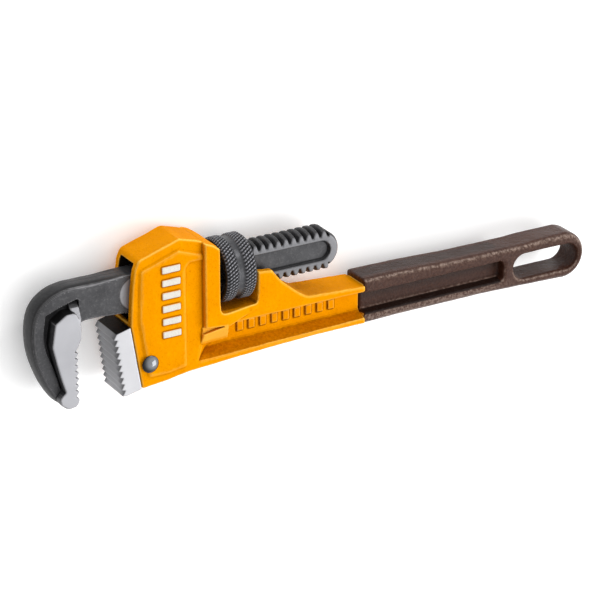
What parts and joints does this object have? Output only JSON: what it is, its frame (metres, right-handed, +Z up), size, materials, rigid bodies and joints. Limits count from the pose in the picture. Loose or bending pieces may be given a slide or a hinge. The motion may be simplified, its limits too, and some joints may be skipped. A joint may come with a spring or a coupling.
{
  "type": "pipe wrench",
  "caption": "Heavy-duty straight pipe wrench: cast I-beam handle with dipped grip, sliding hook jaw, knurled nut and pinned heel jaw.",
  "frame": {"origin": "middle of the bounding box's bottom, with the wrench lying on its side", "axes": "+X along the shank and handle from the hook jaw to the hang slot, +Y from the jaws' tips up to the housing's roof, +Z up through the wrench's thickness"},
  "size_m": [0.2924, 0.0698, 0.0302],
  "materials": {
    "orange_paint": "semi-gloss enamel over cast iron",
    "dipped_grip": "satin dipped coating",
    "forged_steel": "black oxide over forged steel",
    "black_nut": "black oxide, knurled",
    "ground_steel": "ground",
    "plated_pin": "plated",
    "spring_steel": "oiled spring steel"
  },
  "bodies": {
    "wrench_body": {"handle_casting": "orange_paint", "grip_coating": "dipped_grip", "heel_jaw": "ground_steel", "heel_jaw_pin": "plated_pin", "coil_spring": "spring_steel", "flat_spring": "spring_steel"},
    "nut": {"adjusting_nut": "black_nut"},
    "hook": {"hook_jaw": "forged_steel"}
  },
  "joints": [
    {"name": "jaw_slide", "type": "slide", "parent": "wrench_body", "child": "hook", "axis": [1, 0, 0], "range_m": [-0.034, 0.017]},
    {"name": "nut_spin", "type": "hinge", "parent": "wrench_body", "child": "nut", "pos_m": [-0.0464, 0.0121, 0.0151], "axis": [1, 0, 0], "range_deg": [-1531, 3061]}
  ],
  "couplings": [
    {"joint": "nut_spin", "follows": "jaw_slide", "rad_per_m": -1570.8}
  ]
}
